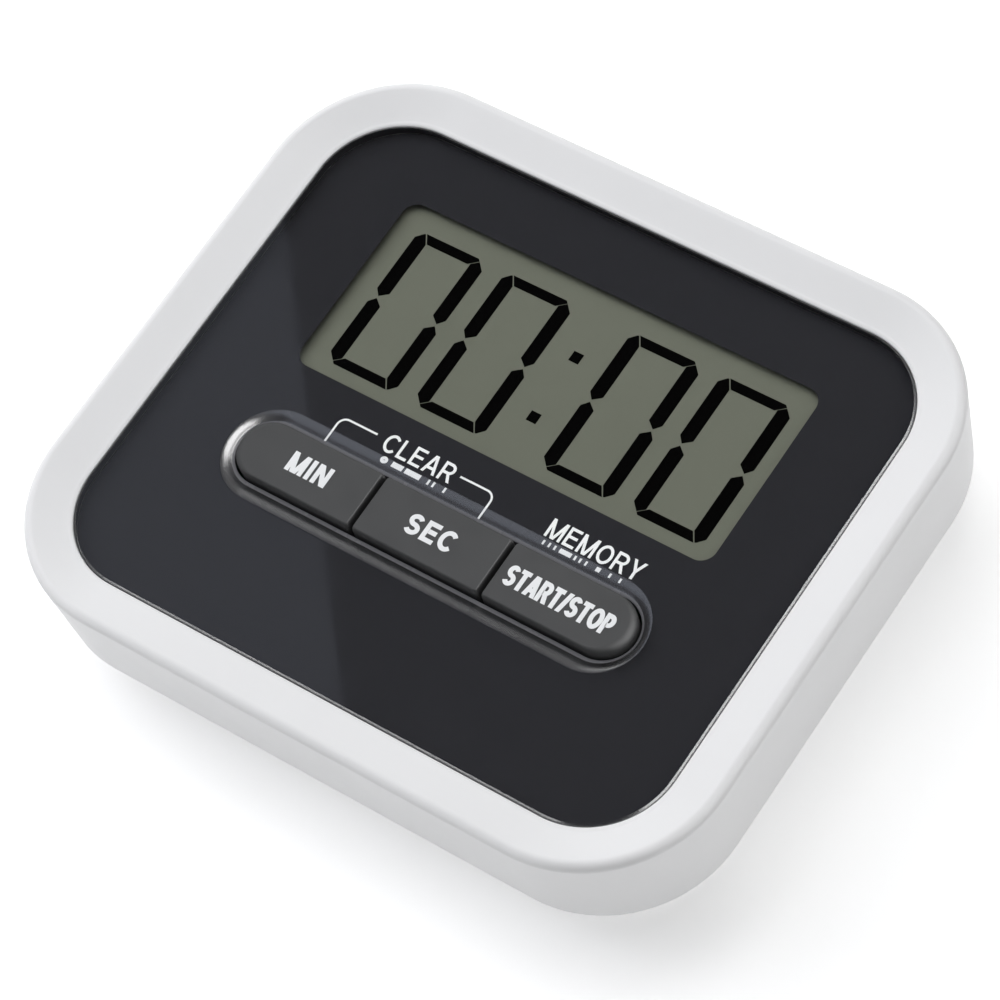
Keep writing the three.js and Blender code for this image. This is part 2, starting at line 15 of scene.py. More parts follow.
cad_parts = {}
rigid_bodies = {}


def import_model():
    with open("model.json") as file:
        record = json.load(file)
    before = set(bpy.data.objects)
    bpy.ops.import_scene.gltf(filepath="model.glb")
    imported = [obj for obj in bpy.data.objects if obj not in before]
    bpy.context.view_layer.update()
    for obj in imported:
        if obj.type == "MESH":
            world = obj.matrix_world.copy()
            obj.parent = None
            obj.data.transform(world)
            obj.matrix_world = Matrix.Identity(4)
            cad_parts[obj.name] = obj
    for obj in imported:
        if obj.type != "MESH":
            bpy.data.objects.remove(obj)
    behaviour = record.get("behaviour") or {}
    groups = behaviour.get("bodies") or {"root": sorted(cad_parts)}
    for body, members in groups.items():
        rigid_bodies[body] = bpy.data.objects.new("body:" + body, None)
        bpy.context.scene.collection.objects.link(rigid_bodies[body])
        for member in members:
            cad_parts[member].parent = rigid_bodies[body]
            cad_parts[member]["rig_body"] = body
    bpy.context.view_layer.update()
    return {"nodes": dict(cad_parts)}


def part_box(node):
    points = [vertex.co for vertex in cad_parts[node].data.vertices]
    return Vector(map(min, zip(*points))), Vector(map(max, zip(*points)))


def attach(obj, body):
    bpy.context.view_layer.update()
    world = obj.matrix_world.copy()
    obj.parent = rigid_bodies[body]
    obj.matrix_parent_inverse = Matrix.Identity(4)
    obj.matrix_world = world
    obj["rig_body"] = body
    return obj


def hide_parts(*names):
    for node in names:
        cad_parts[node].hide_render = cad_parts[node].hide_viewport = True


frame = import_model()
NODES = frame["nodes"]

MM = 0.001
CORNER = 20  # segments of a rounded corner


def span(name):
    """A CAD node's lowest and highest corner in millimetres."""
    low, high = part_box(name)
    return low / MM, high / MM


BEZEL_LOW, BEZEL_HIGH = span("front_bezel")
LENS_LOW, LENS_HIGH = span("front_lens")
FILM_LOW, FILM_HIGH = span("lcd_front_polariser")
KEY_LOW, KEY_HIGH = span("button_sec")

# rounded rectangles: (half width, half height, corner radius)
CASE = (BEZEL_HIGH.x, BEZEL_HIGH.y, 15.1)
LENS = (LENS_HIGH.x, LENS_HIGH.y, 9.4)
WINDOW = (25.4, 10.8, 1.7)
FILM = (FILM_HIGH.x, 12.0, 0.4)
WINDOW_Y = 11.45

LENS_TOP = LENS_HIGH.z
LENS_BACK = LENS_LOW.z
PRINT_LEVELS = (LENS_BACK - 0.046, LENS_BACK - 0.03)  # black ink behind the lens
INK_LEVELS = (LENS_BACK - 0.028, LENS_BACK - 0.006)  # white ink between the lens and the black
LENS_CHAMFER = 0.26
LENS_GAP = 0.04  # between the lens and the white bezel
RIM = BEZEL_HIGH.z
KEY_TOP = KEY_HIGH.z
KEY_INK_LEVELS = (KEY_TOP + 0.004, KEY_TOP + 0.022)

PILL = (24.15, 3.62)  # the keys' opening, half sizes
PILL_Y = -9.97
SCOOP = (25.3, 5.4)  # outer edge of the dish round the keys, half sizes
SCOOP_Y = -10.2
LIP_TOP = LENS_TOP - 0.53  # the opening's lip ends and its dish begins
SCOOP_PROFILE = (  # (way out from the key opening, depth under the lens face)
    (0, 0.65), (0.03, 0.61), (0.12, 0.57), (0.22, 0.53), (0.3, 0.47), (0.4, 0.36), (0.5, 0.265),
    (0.58, 0.205), (0.66, 0.15), (0.74, 0.1), (0.82, 0.058), (0.91, 0.02), (1, 0), (1.06, 0),
)

KEY_SPLIT = 7.9  # distance of the cuts between the keys from the middle
KEY_LAP = 0.05  # each key's third runs this far past its cut, before the clearance is taken off
KEY_CLEARANCE = 0.25  # a key's walls stand this far inside its third
KEY_CORNER = 0.3  # corner radius beside the cuts
KEY_ROUND = (0.9, 0.25)  # rounding of a key's crown at the round ends and along the sides
KEY_SKIRT = 1.05  # how far the visible key begins above the lower end of the CAD key

DIGIT = (8.75, 17.4)  # width and height
DIGIT_CENTRES = (-18.52, -7.48, 8.18, 19.05)
DIGIT_BOTTOM = 2.45
SEGMENT_LIFT, SEGMENT_DEPTH = 0.004, 0.02  # how the lit segments lie on the film
COLON_X, COLON_Y, COLON_HALF = 0.35, (14.66, 6.86), 0.6

NOISE_SPAN = (0.3, 0.7)  # nearly all of a noise texture's values lie between these
ACRYLIC_IOR = 1.49


# ---------------------------------------------------------------- node helpers


def new_material(name):
    material = bpy.data.materials.new(name)
    material.use_nodes = True
    tree = material.node_tree
    tree.nodes.clear()
    output = tree.nodes.new("ShaderNodeOutputMaterial")
    return material, tree, output


def link(tree, source, target):
    tree.links.new(source, target)


def noise(tree, coordinates, scale, detail):
    made = tree.nodes.new("ShaderNodeTexNoise")
    made.inputs["Scale"].default_value = scale
    made.inputs["Detail"].default_value = detail
    link(tree, coordinates, made.inputs["Vector"])
    return made.outputs["Fac"]


def remap(tree, value, low, high, to_low, to_high):
    """A value taken from one range to another and kept inside it."""
    made = tree.nodes.new("ShaderNodeMapRange")
    made.clamp = True
    for key, number in zip(("From Min", "From Max", "To Min", "To Max"), (low, high, to_low, to_high)):
        made.inputs[key].default_value = number
    link(tree, value, made.inputs["Value"])
    return made.outputs["Result"]


def two_tone(tree, factor, dark, light):
    """A colour between two tones, by a factor from 0 to 1."""
    made = tree.nodes.new("ShaderNodeMix")
    made.data_type = "RGBA"
    link(tree, factor, made.inputs[0])
    first, second = [socket for socket in made.inputs if socket.type == "RGBA"]
    first.default_value = (*dark, 1)
    second.default_value = (*light, 1)
    return next(socket for socket in made.outputs if socket.type == "RGBA")


def moulded(
    name, colour, vary, rough, grain, bump, depth=0.00002, specular=0.5, blotch=60, metallic=0.0,
):
    """A moulded, printed or rolled surface: soft tone changes, changing gloss and a fine grain.

    vary is the share by which the tone changes and rough the range of roughness. grain and blotch
    are noise scales, of the relief and of the tone. depth is the relief's height in metres.
    """
    material, tree, output = new_material(name)
    place = tree.nodes.new("ShaderNodeTexCoord").outputs["Object"]
    shader = tree.nodes.new("ShaderNodeBsdfPrincipled")
    dark = [c * (1 - vary) for c in colour]
    light = [min(1, c * (1 + vary)) for c in colour]
    tone = remap(tree, noise(tree, place, blotch, 4), *NOISE_SPAN, 0, 1)
    link(tree, two_tone(tree, tone, dark, light), shader.inputs["Base Color"])
    gloss = remap(tree, noise(tree, place, blotch * 7, 3), *NOISE_SPAN, *rough)
    link(tree, gloss, shader.inputs["Roughness"])
    shader.inputs["Specular IOR Level"].default_value = specular
    shader.inputs["Metallic"].default_value = metallic
    if bump:
        relief = tree.nodes.new("ShaderNodeBump")
        relief.inputs["Strength"].default_value = bump
        relief.inputs["Distance"].default_value = depth
        link(tree, noise(tree, place, grain, 2), relief.inputs["Height"])
        link(tree, relief.outputs["Normal"], shader.inputs["Normal"])
    link(tree, shader.outputs["BSDF"], output.inputs["Surface"])
    return material


def clear_acrylic(name, tint, mirror, rough):
    """See-through plastic, glossy on its outer side only. mirror is its least gloss, seen head on."""
    material, tree, output = new_material(name)
    clear = tree.nodes.new("ShaderNodeBsdfTransparent")
    clear.inputs["Color"].default_value = (*tint, 1)
    gloss = tree.nodes.new("ShaderNodeBsdfGlossy")
    gloss.inputs["Color"].default_value = (1, 1, 1, 1)
    place = tree.nodes.new("ShaderNodeTexCoord").outputs["Object"]
    uneven = remap(tree, noise(tree, place, 180, 3), *NOISE_SPAN, *rough)
    link(tree, uneven, gloss.inputs["Roughness"])
    fresnel = tree.nodes.new("ShaderNodeFresnel")
    fresnel.inputs["IOR"].default_value = ACRYLIC_IOR
    share = fresnel.outputs["Fac"]
    if mirror:
        share = remap(tree, share, 0, 1, mirror, 1)
    inside = tree.nodes.new("ShaderNodeNewGeometry").outputs["Backfacing"]
    outer_only = tree.nodes.new("ShaderNodeMath")
    outer_only.operation = "MULTIPLY"
    link(tree, share, outer_only.inputs[0])
    link(tree, remap(tree, inside, 0, 1, 1, 0), outer_only.inputs[1])
    mix = tree.nodes.new("ShaderNodeMixShader")
    link(tree, outer_only.outputs[0], mix.inputs[0])
    link(tree, clear.outputs[0], mix.inputs[1])
    link(tree, gloss.outputs[0], mix.inputs[2])
    link(tree, mix.outputs[0], output.inputs["Surface"])
    return material


# ---------------------------------------------------------------- finishes

WHITE = moulded(
    "case_white", (0.83, 0.83, 0.835), vary=0.012, rough=(0.36, 0.46), grain=2600, bump=0.12,
    specular=0.28,
)
BACK_WHITE = moulded(
    "case_white_textured", (0.8, 0.8, 0.805), vary=0.015, rough=(0.48, 0.6), grain=1900, bump=0.5,
    depth=0.00004, specular=0.4,
)
PRINT = moulded(
    "lens_print", (0.0188, 0.0188, 0.0235), vary=0.03, rough=(0.6, 0.7), grain=2000, bump=0.02,
    depth=0.000004, specular=0.1, blotch=25,
)
KEY_GREY = moulded(
    "key_grey", (0.062, 0.063, 0.064), vary=0.05, rough=(0.42, 0.55), grain=3400, bump=0.35,
    specular=0.3,
)
INK_WHITE = moulded(
    "ink_white", (0.95, 0.96, 0.98), vary=0.03, rough=(0.45, 0.6), grain=3000, bump=0.1,
    depth=0.00001, specular=0.4,
)
INK_KEY = moulded(
    "ink_key", (0.86, 0.87, 0.88), vary=0.04, rough=(0.5, 0.6), grain=3000, bump=0.2,
    depth=0.00001, specular=0.4,
)
SEGMENT = moulded(
    "lcd_segment", (0.0008, 0.0008, 0.0008), vary=0.1, rough=(0.6, 0.7), grain=2000, bump=0.02,
    depth=0.000004, specular=0,
)
LCD = moulded(
    "lcd_film", (0.156, 0.164, 0.13), vary=0.02, rough=(0.55, 0.65), grain=5000, bump=0.12,
    depth=0.000008, specular=0.2, blotch=40,
)
BOARD = moulded(
    "board_mask", (0.03, 0.14, 0.05), vary=0.1, rough=(0.35, 0.5), grain=900, bump=0.3,
    depth=0.00003,
)
EPOXY = moulded(
    "epoxy_black", (0.006, 0.006, 0.007), vary=0.1, rough=(0.2, 0.35), grain=500, bump=0.2,
    depth=0.00003,
)
TAPE = moulded(
    "tape_black", (0.01, 0.01, 0.01), vary=0.15, rough=(0.7, 0.85), grain=2500, bump=0.5,
    depth=0.00003,
)
HOLDER = moulded(
    "holder_black", (0.015, 0.015, 0.016), vary=0.1, rough=(0.5, 0.65), grain=2200, bump=0.4,
    depth=0.00003,
)
ZEBRA = moulded(
    "zebra_pink", (0.42, 0.15, 0.2), vary=0.1, rough=(0.6, 0.75), grain=1800, bump=0.4,
    depth=0.00003,
)
SILICONE = moulded(
    "silicone_grey", (0.35, 0.37, 0.38), vary=0.05, rough=(0.6, 0.75), grain=1800, bump=0.3,
    depth=0.00003,
)
CERAMIC = moulded(
    "ceramic_cream", (0.75, 0.72, 0.6), vary=0.04, rough=(0.5, 0.65), grain=1800, bump=0.2,
)
RED_WIRE = moulded(
    "wire_red", (0.35, 0.012, 0.014), vary=0.06, rough=(0.35, 0.5), grain=1500, bump=0.1,
)
BLACK_WIRE = moulded(
    "wire_black", (0.011, 0.011, 0.012), vary=0.1, rough=(0.35, 0.5), grain=1500, bump=0.1,
)
STEEL = moulded(
    "steel_nickel", (0.56, 0.57, 0.58), vary=0.06, rough=(0.22, 0.38), grain=1600, bump=0.25,
    metallic=1.0,
)
BRASS = moulded(
    "brass_rolled", (0.72, 0.5, 0.2), vary=0.06, rough=(0.25, 0.4), grain=1600, bump=0.2,
    metallic=1.0,
)
MAGNET = moulded(
    "magnet_nickel", (0.62, 0.62, 0.63), vary=0.04, rough=(0.12, 0.26), grain=900, bump=0.15,
    metallic=1.0,
)
GLASS = moulded(
    "lcd_glass_grey", (0.3, 0.33, 0.3), vary=0.03, rough=(0.05, 0.1), grain=900, bump=0.02,
    depth=0.000004,
)
CELL = moulded(
    "cell_sleeve", (0.03, 0.06, 0.16), vary=0.06, rough=(0.22, 0.34), grain=900, bump=0.1,
)


CLEAR = clear_acrylic("lens_clear", tint=(0.995, 0.998, 0.99), mirror=0, rough=(0.02, 0.045))
DISH = clear_acrylic("lens_dish", tint=(0.98, 0.98, 0.98), mirror=0.17, rough=(0.26, 0.32))
EDGE = clear_acrylic("lens_edge", tint=(0.9, 0.9, 0.9), mirror=0.08, rough=(0.18, 0.24))
# painted light: the clear acrylic lip of the key opening is given an opaque grey that stands in for the
# lighter band seen on it
LIP_PAINTED_LIGHT = moulded(
    "lens_lip_painted_light", (0.13, 0.13, 0.14), vary=0.03, rough=(0.2, 0.3), grain=2000, bump=0.02,
    depth=0.000004, specular=0.6,
)


# ---------------------------------------------------------------- shape helpers


def ring(x, y, r, z, cy=0.0):
    """Points of a rounded rectangle, counter-clockwise seen from above."""
    points = []
    for quarter, (sx, sy) in enumerate(((1, -1), (1, 1), (-1, 1), (-1, -1))):
        for i in range(CORNER + 1):
            angle = math.pi / 2 * (quarter - 1 + i / CORNER)
            px = sx * (x - r) + r * math.cos(angle)
            py = cy + sy * (y - r) + r * math.sin(angle)
            points.append(Vector((px, py, z)))
    return points


def walls(faces, rings, start, closed=False):
    """Quads between consecutive rings, which are numbered from start on."""
    size = len(rings[0])
    pairs = len(rings) if closed else len(rings) - 1
    for k in range(pairs):
        low = start + k * size
        high = start + ((k + 1) % len(rings)) * size
        for i in range(size):
            j = (i + 1) % size
            faces.append((low + i, low + j, high + j, high + i))


def cap(faces, loops, up):
    """Triangles that close a flat face with holes. loops is a list of (first index, points)."""
    numbers = [first + i for first, points in loops for i in range(len(points))]
    flat = [[Vector((p.x, p.y, 0)) for p in points] for first, points in loops]
    where = [p for loop in flat for p in loop]
    for triangle in tessellate_polygon(flat):
        a, b, c = triangle
        area = (where[b] - where[a]).cross(where[c] - where[a]).z
        if abs(area) < 1e-9:  # a sliver with no area
            continue
        if (area > 0) != up:
            a, c = c, a
        faces.append((numbers[a], numbers[b], numbers[c]))


def new_piece(name, points, faces, material, body, slot, smooth=35, weighted=True):
    """A mesh piece from points in millimetres, riding on a body."""
    mesh = bpy.data.meshes.new(name)
    mesh.from_pydata([Vector(p) * MM for p in points], [], faces)
    mesh.materials.append(material)
    made = bpy.data.objects.new(name, mesh)
    bpy.context.scene.collection.objects.link(made)
    finish_mesh(made, smooth, weighted)
    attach(made, body)
    return made


def finish_mesh(made, smooth=35, weighted=True):
    """Outward faces, smooth shading with sharp creases, and flat faces kept flat."""
    edit = bmesh.new()
    edit.from_mesh(made.data)
    bmesh.ops.remove_doubles(edit, verts=edit.verts, dist=1e-7)
    bmesh.ops.recalc_face_normals(edit, faces=edit.faces)
    edit.to_mesh(made.data)
    edit.free()
    made.data.polygons.foreach_set("use_smooth", [True] * len(made.data.polygons))
    made.data.set_sharp_from_angle(angle=math.radians(smooth))
    if weighted:
        modifier = made.modifiers.new("weighted", "WEIGHTED_NORMAL")
        modifier.keep_sharp = True


def plate(name, outer, holes, material, body, slot, **options):
    """A closed solid between flat faces. outer and each hole are lists of rings, lowest first."""
    points, faces, bottoms, tops = [], [], [], []
    for stack in [outer, *holes]:
        start = len(points)
        for one in stack:
            points.extend(one)
        walls(faces, stack, start)
        bottoms.append((start, stack[0]))
        tops.append((start + (len(stack) - 1) * len(stack[0]), stack[-1]))
    cap(faces, bottoms, False)
    cap(faces, tops, True)
    return new_piece(name, points, faces, material, body, slot, **options)


def rounding(top, radius, steps):
    """(height, inset) of a quarter-round edge that ends at a height."""
    levels = []
    for i in range(steps + 1):
        angle = math.pi / 2 * i / steps
        levels.append((top - radius + radius * math.sin(angle), radius * (1 - math.cos(angle))))
    return levels


def foot(low, radius, steps, start):
    """(height, inset) of a quarter-round edge that begins at a height, up to an inset of start."""
    levels = []
    for i in range(steps + 1):
        angle = math.pi / 2 * (1 - i / steps)
        levels.append((low + radius - radius * math.sin(angle), start + radius * (1 - math.cos(angle))))
    return levels


def drawn_in(rectangle, levels, cy=0.0):
    """Rings of a rounded rectangle at (height, inset) levels."""
    x, y, r = rectangle
    return [ring(x - d, y - d, r - d, z, cy) for z, d in levels]


def mixed(a, b, share):
    """The number a share of the way from a to b."""
    return a + (b - a) * share


def dish_ring(share, z):
    """Stadium between the key opening (share 0) and the outer edge of the dish (share 1)."""
    x, y = mixed(PILL[0], SCOOP[0], share), mixed(PILL[1], SCOOP[1], share)
    return ring(x, y, y - 0.001, z, mixed(PILL_Y, SCOOP_Y, share))


def smooth_copy(name, source, width, material):
    """A CAD node's shape with its edges rounded by a width; it stands for that node."""
    original = NODES[source]
    made = bpy.data.objects.new(name, original.data.copy())
    bpy.context.scene.collection.objects.link(made)
    edit = bmesh.new()
    edit.from_mesh(made.data)
    bmesh.ops.remove_doubles(edit, verts=edit.verts, dist=2e-6)
    bmesh.ops.dissolve_limit(
        edit, angle_limit=math.radians(1), verts=edit.verts, edges=edit.edges,
    )
    edit.to_mesh(made.data)
    edit.free()
    bevel = made.modifiers.new("bevel", "BEVEL")
    bevel.width = width * MM
    bevel.segments = 2
    bevel.limit_method = "ANGLE"
    bevel.angle_limit = math.radians(35)
    bevel.use_clamp_overlap = True
    bpy.context.view_layer.update()
    evaluated = made.evaluated_get(bpy.context.evaluated_depsgraph_get())
    shaped = bpy.data.meshes.new_from_object(evaluated)
    made.modifiers.clear()
    made.data = shaped
    made.data.materials.clear()
    made.data.materials.append(material)
    finish_mesh(made)
    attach(made, original["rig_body"])
    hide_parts(source)
    return made


# ---------------------------------------------------------------- camera


def place_camera():
    """A long lens above the lower right, turned a little, as in the photograph."""
    right = Vector((0.81052, 0.55110, -0.19835))
    up = Vector((-0.40852, 0.77459, 0.48282))
    back = Vector((0.41972, -0.31031, 0.85296))
    position = (0.17917, -0.13313, 0.37295)
    camera = bpy.data.cameras.new("camera")
    camera.lens = 152.73
    camera.sensor_width = 36
    camera.clip_start = 0.01
    holder = bpy.data.objects.new("camera", camera)
    turn = Matrix((right, up, back)).transposed().to_4x4()
    holder.matrix_world = Matrix.Translation(position) @ turn
    bpy.context.scene.collection.objects.link(holder)
    bpy.context.scene.camera = holder


place_camera()


# ---------------------------------------------------------------- white bezel


def make_bezel():
    """The white shell: a skirt, a rounded rim, a face sloping to the lens and a ledge behind it."""
    low = BEZEL_LOW.z
    foot_round, draft, wall = 0.25, 0.6, 2.0
    ledge_top, ledge_back, ledge = 14.7, 13.1, 3.2
    # outside, from the lower edge up
    rings = drawn_in(CASE, foot(low, foot_round, 3, draft))
    # over the rim: the rounding runs on past the crest until it meets the slope of the face
    rim_round, lean, steps = 0.9, 16, 12
    over_rim = []
    for i in range(steps + 1):
        angle = math.radians((90 + lean) * i / steps)
        height = RIM - rim_round + rim_round * math.sin(angle)
        over_rim.append((height, rim_round * (1 - math.cos(angle))))
    rings += drawn_in(CASE, over_rim)
    # face sloping down to the lens, ending in a soft inner edge
    soft, soft_drop, steps = 0.6, 0.25, 6
    inner = [size + LENS_GAP for size in LENS]
    grown = [size + soft for size in inner]
    crest = [size - over_rim[-1][1] for size in CASE]
    crest_z = rings[-1][0].z
    face_end = LENS_TOP + 0.05
    for i in range(1, steps):
        t = i / steps
        face = [mixed(a, b, t) for a, b in zip(crest, grown)]
        rings.append(ring(*face, mixed(crest_z, face_end, t)))
    soft_edge = []
    for i in range(steps + 1):
        angle = math.pi / 2 * i / steps
        soft_edge.append((face_end - soft_drop * (1 - math.cos(angle)), soft * math.sin(angle)))
    rings += drawn_in(grown, soft_edge)
    # ledge behind the lens, front wall and inside of the skirt
    rings += drawn_in(inner, [(ledge_top, 0), (ledge_top, ledge), (ledge_back, ledge)])
    rings += drawn_in(CASE, [(ledge_back, wall), (low, wall)])
    points = [p for one in rings for p in one]
    faces = []
    walls(faces, rings, 0, closed=True)
    made = new_piece("bezel_shell", points, faces, WHITE, "case", "case_white", smooth=40)
    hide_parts("front_bezel")


# ---------------------------------------------------------------- dark panel


def scoop_stack():
    """Rings of the dished edge round the keys, from the back of the lens to its face."""
    dished = [dish_ring(share, LENS_TOP - depth) for share, depth in SCOOP_PROFILE]
    return [dish_ring(0, LENS_BACK), *dished]


def make_panel():
    """A clear lens with a dished key opening, and the black print on its back."""
    outer = drawn_in(
        LENS, [(LENS_BACK, 0), (LENS_TOP - LENS_CHAMFER, 0), (LENS_TOP, LENS_CHAMFER)],
    )
    panel = plate("lens_panel", outer, [scoop_stack()], CLEAR, "case", "lens_panel", smooth=40)
    finishes = [CLEAR, DISH, LIP_PAINTED_LIGHT, PRINT, EDGE]
    for finish in finishes[1:]:
        panel.data.materials.append(finish)
    reach_x, reach_y = SCOOP[0] + 0.01, SCOOP[1] + 0.01
    for polygon in panel.data.polygons:
        middle = polygon.center / MM
        level = abs(polygon.normal.z)
        dished = abs(middle.x) < reach_x and abs(middle.y - SCOOP_Y) < reach_y
        finish = CLEAR
        if dished and LENS_BACK + 0.01 < middle.z < LENS_TOP - 0.002:
            # the steep lip gets the grey with painted light, the rest of the dish the clear acrylic
            finish = LIP_PAINTED_LIGHT if middle.z < LIP_TOP else DISH
        elif level < 0.05:  # the outer wall
            finish = PRINT
        elif level < 0.99:  # the chamfer
            finish = EDGE
        polygon.material_index = finishes.index(finish)
    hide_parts("front_lens")

    margin = 0.02  # the print stops this far inside the lens
    sheet = drawn_in(LENS, [(z, margin) for z in PRINT_LEVELS])
    window = [ring(*WINDOW, z, WINDOW_Y) for z in PRINT_LEVELS]
    keys = [dish_ring(0, z) for z in PRINT_LEVELS]
    plate("lens_print", sheet, [window, keys], PRINT, "case", "lens_panel", smooth=30)


make_bezel()
make_panel()


# ---------------------------------------------------------------- display


def segment_outlines(width, height):
    """The six lit segments of a zero, as outlines from the lower left corner.

    v and h are the widths of the upright and level bars, gap is the space between bars, and cut
    the size of an outer corner's cut. tip and slant shape the bars' points at half height.
    """
    v, h, gap, cut = 1.6, 1.08, 0.1, 1.15
    tip, slant = 0.14, 0.76
    half = height / 2
    left_upper = [
        (0, half + tip + slant), (0.42 * v, half + tip), (v, half + tip + slant * 0.95),
        (v, height - h - 0.1), (v - 0.72, height - 0.07), (0.72, height - 0.12), (0, height - 0.86),
    ]
    top = [
        (v - 0.72 + gap, height), (v + gap, height - h), (width - v - 0.3, height - h),
        (width - 0.78 * cut, height - 0.22 * cut), (width - cut, height),
    ]
    right_upper = [
        (width - v, height - 0.8 * cut), (width - v, half + tip + slant * 0.95),
        (width - 0.42 * v, half + tip), (width, half + tip + slant), (width, height - cut),
        (width - 0.73 * cut, height - 0.27 * cut),
    ]
    upper = [left_upper, top, right_upper]
    turned = [[(width - px, height - py) for px, py in one] for one in upper]
    return upper + turned


def make_display():
    """Four zeros and a colon as thin dark segments on the display's grey film."""
    low = FILM_HIGH.z + SEGMENT_LIFT
    high = low + SEGMENT_DEPTH
    width, height = DIGIT
    points, faces = [], []

    def prism(outline):
        """A thin solid with an outline, which is turned counter-clockwise if it isn't."""
        if sum(a[0] * b[1] - b[0] * a[1] for a, b in zip(outline, outline[1:] + outline[:1])) < 0:
            outline = outline[::-1]
        start, count = len(points), len(outline)
        points.extend(Vector((px, py, low)) for px, py in outline)
        points.extend(Vector((px, py, high)) for px, py in outline)
        faces.append(tuple(start + i for i in reversed(range(count))))
        faces.append(tuple(start + count + i for i in range(count)))
        for i in range(count):
            j = (i + 1) % count
            faces.append((start + i, start + j, start + count + j, start + count + i))

    for centre in DIGIT_CENTRES:
        for outline in segment_outlines(width, height):
            prism([(centre - width / 2 + px, DIGIT_BOTTOM + py) for px, py in outline])
    left, right = COLON_X - COLON_HALF, COLON_X + COLON_HALF
    for y in COLON_Y:
        bottom, top = y - COLON_HALF, y + COLON_HALF
        prism([(left, bottom), (right, bottom), (right, top), (left, top)])
    new_piece("lcd_digits", points, faces, SEGMENT, "case", "lcd_film", smooth=20, weighted=False)

    middle = (FILM_LOW.y + FILM_HIGH.y) / 2
    film = drawn_in(FILM, [(FILM_LOW.z, 0), (FILM_HIGH.z, 0)], middle)
    made = plate("lcd_film_front", film, [], LCD, "case", "lcd_film")
    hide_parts("lcd_front_polariser")


make_display()


# ---------------------------------------------------------------- keys


def turn(cx, cy, r, start, quarters, count):
    """Points of an arc that begins at a number of quarter turns."""
    angles = [(start + quarters * i / count) * math.pi / 2 for i in range(count + 1)]
    return [(cx + r * math.cos(a), cy + r * math.sin(a)) for a in angles]


def key_ring(left, right, end, side, z):
    """A third of the key opening, drawn in at the round ends, the sides and the straight cuts.

    left and right are where its cuts are. Instead of a cut, None stands for a round end.
    """
    y = PILL[1] - side
    x = PILL[0] - end
    corner = KEY_CORNER
    end_steps, corner_steps = 28, 6
    low, high = PILL_Y - y + corner, PILL_Y + y - corner
    points = []
    if right is None:
        points += turn(x - y, PILL_Y, y, -1, 2, end_steps)
    else:
        edge = right - side - corner
        points += turn(edge, low, corner, -1, 1, corner_steps)
        points += turn(edge, high, corner, 0, 1, corner_steps)
    if left is None:
        points += turn(y - x, PILL_Y, y, 1, 2, end_steps)
    else:
        edge = left + side + corner
        points += turn(edge, high, corner, 1, 1, corner_steps)
        points += turn(edge, low, corner, 2, 1, corner_steps)
    return [Vector((px, py, z)) for px, py in points]


def make_key(name, left, right):
    """A key cap with straight walls and a crown rounded more at its round end than at its sides."""
    end_round, side_round = KEY_ROUND
    wall = KEY_CLEARANCE
    stack = [key_ring(left, right, wall, wall, KEY_LOW.z + KEY_SKIRT)]
    for z, d in rounding(KEY_TOP, 1, 9):
        height = KEY_TOP - (KEY_TOP - z) * end_round
        stack.append(key_ring(left, right, wall + d * end_round, wall + d * side_round, height))
    made = plate(f"key_{name}", stack, [], KEY_GREY, f"{name}_key", "key_grey", smooth=60)
    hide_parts(f"button_{name}")


make_key("min", None, -KEY_SPLIT + KEY_LAP)
make_key("sec", -KEY_SPLIT - KEY_LAP, KEY_SPLIT + KEY_LAP)
make_key("start_stop", KEY_SPLIT - KEY_LAP, None)


# ---------------------------------------------------------------- printing


def arc(cx, cy, rx, ry, start, end, count=10):
    """Points of an arc between two angles in degrees."""
    angles = [math.radians(start + (end - start) * i / count) for i in range(count + 1)]
    return [(cx + rx * math.cos(a), cy + ry * math.sin(a)) for a in angles]


